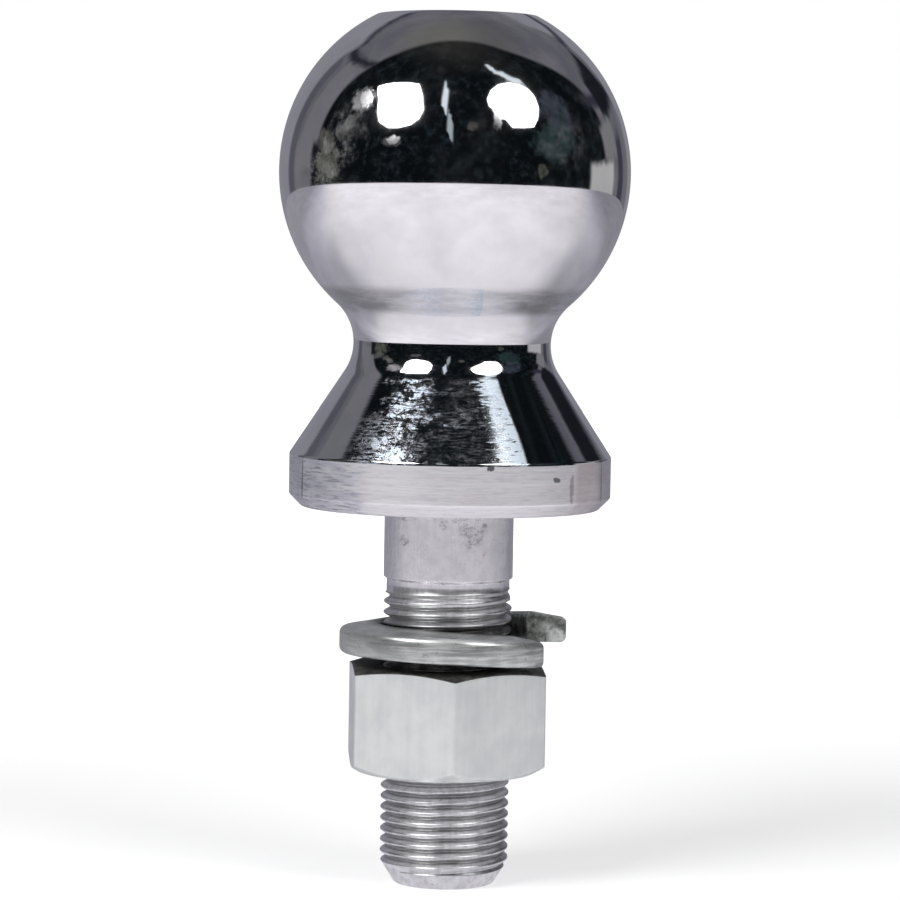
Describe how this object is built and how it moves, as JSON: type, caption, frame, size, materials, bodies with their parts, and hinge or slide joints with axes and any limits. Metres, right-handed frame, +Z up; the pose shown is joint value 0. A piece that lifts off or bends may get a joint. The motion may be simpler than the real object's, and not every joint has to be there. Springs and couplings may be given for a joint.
{
  "type": "threaded tow ball",
  "caption": "Chromed hitch ball forged with a tapered neck, collar and threaded shank, with a split lock washer and hex nut.",
  "frame": {"origin": "centre of the lower end of the shank, which the ball stands on", "axes": "+Z up along the shank to the ball, -Y towards the viewer of the picture, +X to the viewer's right"},
  "size_m": [0.0508, 0.0508, 0.1258],
  "materials": {
    "chrome_plate": "polished on the ball and the cone, satin on the collar and the shank",
    "zinc_washer": "dull zinc plate with scuffs",
    "zinc_nut": "pale zinc plate, satin"
  },
  "bodies": {
    "ball_stud": {"ball_stud": "chrome_plate"},
    "lock_washer": {"lock_washer": "zinc_washer"},
    "hex_nut": {"hex_nut": "zinc_nut"}
  },
  "joints": [
    {"name": "washer_slide", "type": "slide", "parent": "ball_stud", "child": "lock_washer", "axis": [0, 0, 1], "range_m": [-0.0159, 0.00954]},
    {"name": "nut_spin", "type": "hinge", "parent": "lock_washer", "child": "hex_nut", "pos_m": [0, 0, 0.02422], "axis": [0, 0, 1], "range_deg": [-3600, 2160]}
  ],
  "couplings": [
    {"joint": "washer_slide", "follows": "nut_spin", "m_per_rad": 0.00025266}
  ]
}
